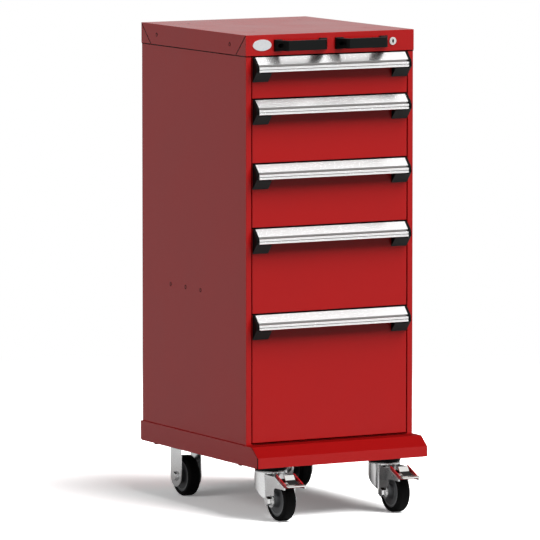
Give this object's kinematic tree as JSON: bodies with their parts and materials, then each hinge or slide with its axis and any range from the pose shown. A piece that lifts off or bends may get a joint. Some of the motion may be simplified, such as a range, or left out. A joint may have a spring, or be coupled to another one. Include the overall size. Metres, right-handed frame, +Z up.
{
  "type": "mobile drawer cabinet",
  "caption": "Narrow steel tool cabinet on casters: a stack of full-extension drawers with aluminium pulls, a key lock, push handles and a bumper base.",
  "frame": {"origin": "on the floor, under the middle of the part's box", "axes": "+Z up, the drawers face -Y, +X to the right as one faces the drawers"},
  "size_m": [0.467, 0.659, 1.16],
  "materials": {
    "red_powder_coat": "semi-gloss red powder coat",
    "satin_aluminium": "clear anodised extrusion",
    "black_plastic": "moulded with a fine grain",
    "zinc_plate": "bright zinc plate",
    "bright_steel": "bright plate",
    "bright_nickel": "nickel plate",
    "red_brake_paint": "moulded red plastic",
    "black_rubber": "matt rubber",
    "grey_hub_plastic": "moulded dark grey plastic"
  },
  "bodies": {
    "cabinet": {"left_side_panel": "red_powder_coat", "right_side_panel": "red_powder_coat", "back_panel": "red_powder_coat", "bottom_panel": "red_powder_coat", "top_cover": "red_powder_coat", "rear_uprights": "zinc_plate", "slide_rails": "zinc_plate", "base_frame": "red_powder_coat", "caster_channels": "zinc_plate", "caster_bolts": "zinc_plate", "push_handle_left": "black_plastic", "push_handle_right": "black_plastic", "push_handle_screws": "zinc_plate", "lock_barrel": "bright_nickel", "front_caster_plates": "zinc_plate", "swivel_seals": "black_plastic", "rear_caster_forks": "zinc_plate", "rear_caster_axles": "zinc_plate"},
    "lock_core": {"lock_core": "bright_nickel"},
    "lock_bar": {"lock_bar": "zinc_plate"},
    "drawer_1": {"drawer_1_front": "red_powder_coat", "drawer_1_tray": "red_powder_coat", "drawer_1_pull": "satin_aluminium", "drawer_1_end_caps": "black_plastic"},
    "drawer_1_slides": {"drawer_1_slides": "zinc_plate"},
    "drawer_2": {"drawer_2_front": "red_powder_coat", "drawer_2_tray": "red_powder_coat", "drawer_2_pull": "satin_aluminium", "drawer_2_end_caps": "black_plastic"},
    "drawer_2_slides": {"drawer_2_slides": "zinc_plate"},
    "drawer_3": {"drawer_3_front": "red_powder_coat", "drawer_3_tray": "red_powder_coat", "drawer_3_pull": "satin_aluminium", "drawer_3_end_caps": "black_plastic"},
    "drawer_3_slides": {"drawer_3_slides": "zinc_plate"},
    "drawer_4": {"drawer_4_front": "red_powder_coat", "drawer_4_tray": "red_powder_coat", "drawer_4_pull": "satin_aluminium", "drawer_4_end_caps": "black_plastic"},
    "drawer_4_slides": {"drawer_4_slides": "zinc_plate"},
    "drawer_5": {"drawer_5_front": "red_powder_coat", "drawer_5_tray": "red_powder_coat", "drawer_5_pull": "satin_aluminium", "drawer_5_end_caps": "black_plastic"},
    "drawer_5_slides": {"drawer_5_slides": "zinc_plate"},
    "left_swivel": {"left_caster_fork": "zinc_plate"},
    "left_brake": {"left_brake_pedal": "bright_steel", "left_brake_lever": "red_brake_paint"},
    "front_left_wheel": {"front_left_tyre": "black_rubber", "front_left_hub": "grey_hub_plastic"},
    "rear_left_wheel": {"rear_left_tyre": "black_rubber", "rear_left_hub": "grey_hub_plastic"},
    "right_swivel": {"right_caster_fork": "zinc_plate"},
    "right_brake": {"right_brake_pedal": "bright_steel", "right_brake_lever": "red_brake_paint"},
    "front_right_wheel": {"front_right_tyre": "black_rubber", "front_right_hub": "grey_hub_plastic"},
    "rear_right_wheel": {"rear_right_tyre": "black_rubber", "rear_right_hub": "grey_hub_plastic"}
  },
  "joints": [
    {"name": "lock_turn", "type": "hinge", "parent": "cabinet", "child": "lock_core", "pos_m": [0.1705, -0.2055, 1.134], "axis": [0, -1, 0], "range_deg": [0, 90]},
    {"name": "lock_bar_lift", "type": "slide", "parent": "cabinet", "child": "lock_bar", "axis": [0, 0, 1], "range_m": [0, 0.012]},
    {"name": "drawer_1_slide", "type": "slide", "parent": "cabinet", "child": "drawer_1", "axis": [0, -1, 0], "range_m": [0, 0.46]},
    {"name": "drawer_1_middle_slide", "type": "slide", "parent": "cabinet", "child": "drawer_1_slides", "axis": [0, -1, 0], "range_m": [0, 0.2301]},
    {"name": "drawer_2_slide", "type": "slide", "parent": "cabinet", "child": "drawer_2", "axis": [0, -1, 0], "range_m": [0, 0.46]},
    {"name": "drawer_2_middle_slide", "type": "slide", "parent": "cabinet", "child": "drawer_2_slides", "axis": [0, -1, 0], "range_m": [0, 0.2301]},
    {"name": "drawer_3_slide", "type": "slide", "parent": "cabinet", "child": "drawer_3", "axis": [0, -1, 0], "range_m": [0, 0.46]},
    {"name": "drawer_3_middle_slide", "type": "slide", "parent": "cabinet", "child": "drawer_3_slides", "axis": [0, -1, 0], "range_m": [0, 0.2301]},
    {"name": "drawer_4_slide", "type": "slide", "parent": "cabinet", "child": "drawer_4", "axis": [0, -1, 0], "range_m": [0, 0.46]},
    {"name": "drawer_4_middle_slide", "type": "slide", "parent": "cabinet", "child": "drawer_4_slides", "axis": [0, -1, 0], "range_m": [0, 0.2301]},
    {"name": "drawer_5_slide", "type": "slide", "parent": "cabinet", "child": "drawer_5", "axis": [0, -1, 0], "range_m": [0, 0.46]},
    {"name": "drawer_5_middle_slide", "type": "slide", "parent": "cabinet", "child": "drawer_5_slides", "axis": [0, -1, 0], "range_m": [0, 0.2301]},
    {"name": "left_swivel", "type": "hinge", "parent": "cabinet", "child": "left_swivel", "pos_m": [-0.1565, -0.1955, 0.1187], "axis": [0, 0, 1], "continuous": true},
    {"name": "left_brake_press", "type": "hinge", "parent": "left_swivel", "child": "left_brake", "pos_m": [-0.1565, -0.2855, 0.095], "axis": [1, 0, 0], "range_deg": [0, 12]},
    {"name": "front_left_wheel_spin", "type": "hinge", "parent": "left_swivel", "child": "front_left_wheel", "pos_m": [-0.1565, -0.2485, 0.05], "axis": [1, 0, 0], "continuous": true},
    {"name": "rear_left_wheel_spin", "type": "hinge", "parent": "cabinet", "child": "rear_left_wheel", "pos_m": [-0.1565, 0.2365, 0.05], "axis": [1, 0, 0], "continuous": true},
    {"name": "right_swivel", "type": "hinge", "parent": "cabinet", "child": "right_swivel", "pos_m": [0.1565, -0.1955, 0.1187], "axis": [0, 0, 1], "continuous": true},
    {"name": "right_brake_press", "type": "hinge", "parent": "right_swivel", "child": "right_brake", "pos_m": [0.1565, -0.2855, 0.095], "axis": [1, 0, 0], "range_deg": [0, 12]},
    {"name": "front_right_wheel_spin", "type": "hinge", "parent": "right_swivel", "child": "front_right_wheel", "pos_m": [0.1565, -0.2485, 0.05], "axis": [1, 0, 0], "continuous": true},
    {"name": "rear_right_wheel_spin", "type": "hinge", "parent": "cabinet", "child": "rear_right_wheel", "pos_m": [0.1565, 0.2365, 0.05], "axis": [1, 0, 0], "continuous": true}
  ],
  "couplings": [
    {"joint": "lock_turn", "follows": "lock_bar_lift", "rad_per_m": 130.89},
    {"joint": "drawer_1_middle_slide", "follows": "drawer_1_slide", "ratio": 0.5},
    {"joint": "drawer_2_middle_slide", "follows": "drawer_2_slide", "ratio": 0.5},
    {"joint": "drawer_3_middle_slide", "follows": "drawer_3_slide", "ratio": 0.5},
    {"joint": "drawer_4_middle_slide", "follows": "drawer_4_slide", "ratio": 0.5},
    {"joint": "drawer_5_middle_slide", "follows": "drawer_5_slide", "ratio": 0.5}
  ]
}
